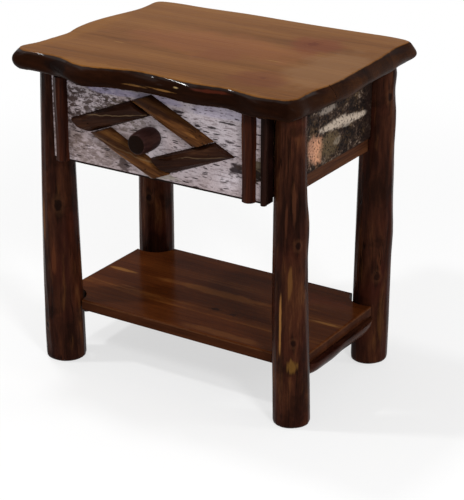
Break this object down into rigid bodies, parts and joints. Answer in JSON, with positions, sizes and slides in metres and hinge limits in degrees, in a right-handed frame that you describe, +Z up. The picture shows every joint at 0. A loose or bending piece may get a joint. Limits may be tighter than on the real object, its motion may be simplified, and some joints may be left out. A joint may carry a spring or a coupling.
{
  "type": "rustic end table",
  "caption": "Rustic log end table with a live-edge top, a bark-faced drawer that slides out and a low shelf.",
  "frame": {"origin": "on the floor under the middle of the overall box", "axes": "+Z up, +X along the width to the right as seen from the front, the drawer front faces -Y"},
  "size_m": [0.6497, 0.5067, 0.66],
  "materials": {
    "top_wood": "clear gloss varnish over warm brown glued boards",
    "leg_log": "peeled log, dark reddish brown, glossy varnish",
    "shelf_wood": "dark red brown boards, glossy varnish",
    "split_log": "peeled split log, dark reddish brown, glossy varnish",
    "dark_bark": "rough dark bark with pale patches",
    "birch_bark": "pale birch bark with dark breathing marks",
    "stick_wood": "split sticks, dark brown, glossy varnish",
    "knob_wood": "log stub, dark brown, satin varnish",
    "rail_wood": "planed rail, red brown, satin varnish",
    "case_wood": "planed boards, red brown, satin",
    "front_wood": "planed boards with dark stained edges",
    "inner_wood": "planed pale wood, plain",
    "steel": "zinc plated steel"
  },
  "bodies": {
    "frame": {"back_panel": "case_wood", "back_rail": "case_wood", "drawer_guide_left": "inner_wood", "drawer_guide_right": "inner_wood", "drawer_runner_left": "inner_wood", "drawer_runner_right": "inner_wood", "drawer_stop": "inner_wood", "front_rail_lower": "front_wood", "front_rail_upper": "front_wood", "guide_screws": "steel", "leg_back_left": "leg_log", "leg_back_right": "leg_log", "leg_front_left": "leg_log", "leg_front_right": "leg_log", "runner_screws": "steel", "shelf_board_back": "shelf_wood", "shelf_board_centre": "shelf_wood", "shelf_board_front": "shelf_wood", "shelf_rail_left": "split_log", "shelf_rail_right": "split_log", "shelf_screws": "steel", "side_bark_left": "dark_bark", "side_bark_right": "dark_bark", "side_panel_left": "case_wood", "side_panel_right": "case_wood", "side_rail_left": "rail_wood", "side_rail_right": "rail_wood", "stop_screw": "steel", "top_board_back": "top_wood", "top_board_centre_back": "top_wood", "top_board_centre_front": "top_wood", "top_board_front": "top_wood", "top_cleat_left": "inner_wood", "top_cleat_right": "inner_wood", "top_screws": "steel"},
    "drawer": {"drawer_front": "front_wood", "drawer_bark": "birch_bark", "diamond_upper_left": "stick_wood", "diamond_upper_right": "stick_wood", "diamond_lower_right": "stick_wood", "diamond_lower_left": "stick_wood", "strip_left": "stick_wood", "strip_right": "stick_wood", "strip_end": "stick_wood", "drawer_knob": "knob_wood", "knob_screw": "steel", "drawer_side_left": "inner_wood", "drawer_side_right": "inner_wood", "drawer_back": "inner_wood", "drawer_bottom": "inner_wood", "drawer_box_pins": "steel", "stick_pins": "steel"}
  },
  "joints": [
    {"name": "drawer_slide", "type": "slide", "parent": "frame", "child": "drawer", "axis": [0, -1, 0], "range_m": [0, 0.2265]}
  ]
}
